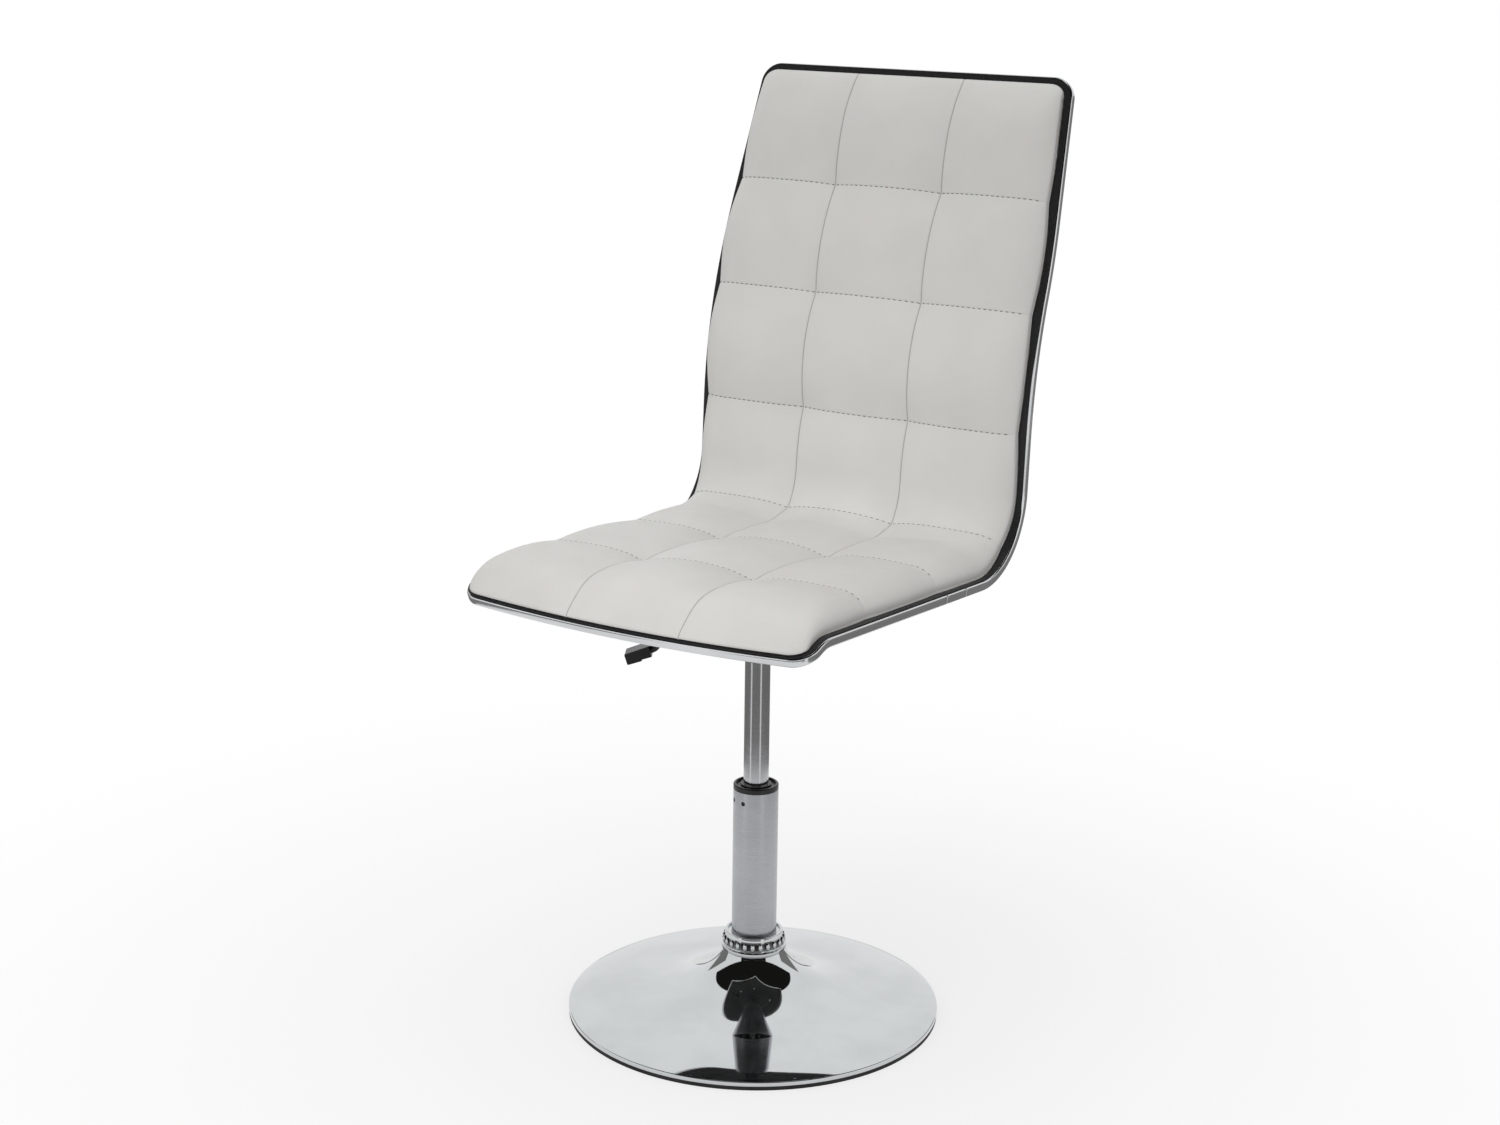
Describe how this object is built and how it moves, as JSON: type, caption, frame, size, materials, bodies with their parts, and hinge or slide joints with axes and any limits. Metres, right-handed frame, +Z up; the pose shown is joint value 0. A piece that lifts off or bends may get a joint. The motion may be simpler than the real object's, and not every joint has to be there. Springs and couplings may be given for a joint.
{
  "type": "swivel chair",
  "caption": "Armless swivel chair with a tufted one-piece seat and back, bright edge trim, a gas lift with a release lever and a flared round pedestal base.",
  "frame": {"origin": "centre of the round base on the floor", "axes": "+Z up along the column, the sitter faces -Y and the sitter's left is +X"},
  "size_m": [0.4238, 0.5855, 1.0268],
  "materials": {
    "upholstery": "satin light grey coated fabric over foam",
    "black_cover": "satin black coated fabric",
    "polished_trim": "polished",
    "mirror_chrome": "polished",
    "satin_chrome": "satin chrome plate",
    "ground_steel": "ground steel",
    "zinc_steel": "zinc plated",
    "black_steel": "satin black",
    "black_plastic": "matte black",
    "black_rubber": "matte black",
    "plywood": "bare bent plywood"
  },
  "bodies": {
    "base": {"base_dish": "mirror_chrome", "floor_ring": "black_rubber", "base_plate": "black_steel", "column_socket": "black_steel", "column_tube": "satin_chrome", "tube_end_plate": "black_steel", "collar": "mirror_chrome", "guide_bushing": "black_plastic", "bearing_lower_race": "ground_steel"},
    "bearing": {"bearing_cage": "black_plastic", "bearing_balls": "ground_steel"},
    "spindle": {"piston_rod": "ground_steel", "piston": "black_plastic", "piston_seal": "black_rubber", "bearing_upper_race": "ground_steel", "rod_washer": "zinc_steel", "rod_clip": "ground_steel", "bump_stop": "black_rubber"},
    "seat": {"gas_cylinder": "ground_steel", "cylinder_gland": "black_plastic", "mounting_plate": "black_steel", "mechanism_pan": "black_steel", "cone_socket": "black_steel", "pivot_bracket": "black_steel", "lever_pivot_pin": "zinc_steel", "plate_bolts": "zinc_steel", "plate_washers": "zinc_steel", "tee_nuts": "zinc_steel", "seat_shell": "plywood", "seat_pad": "upholstery", "back_pad": "upholstery", "trim_seat": "polished_trim", "trim_joints": "polished_trim", "trim_back": "polished_trim", "edge_piping": "black_cover", "underside_cover": "black_cover", "back_cover": "black_cover"},
    "lever": {"lever_rod": "black_steel", "lever_handle": "black_plastic"},
    "valve": {"valve_pin": "ground_steel"}
  },
  "joints": [
    {"name": "swivel", "type": "hinge", "parent": "base", "child": "spindle", "pos_m": [0, 0, 0], "axis": [0, 0, 1], "continuous": true},
    {"name": "bearing_roll", "type": "hinge", "parent": "base", "child": "bearing", "pos_m": [0, 0, 0], "axis": [0, 0, 1], "continuous": true},
    {"name": "lift", "type": "slide", "parent": "spindle", "child": "seat", "axis": [0, 0, 1], "range_m": [-0.12, 0]},
    {"name": "release", "type": "hinge", "parent": "seat", "child": "lever", "pos_m": [-0.02598, -0.015, 0.4523], "axis": [-0.5, 0.866, 0], "range_deg": [0, 8], "stiffness_Nm_per_rad": 2},
    {"name": "valve_push", "type": "slide", "parent": "seat", "child": "valve", "axis": [0, 0, -1], "range_m": [0, 0.0042]}
  ],
  "couplings": [
    {"joint": "bearing_roll", "follows": "swivel", "ratio": 0.5},
    {"joint": "valve_push", "follows": "release", "m_per_rad": 0.03}
  ]
}
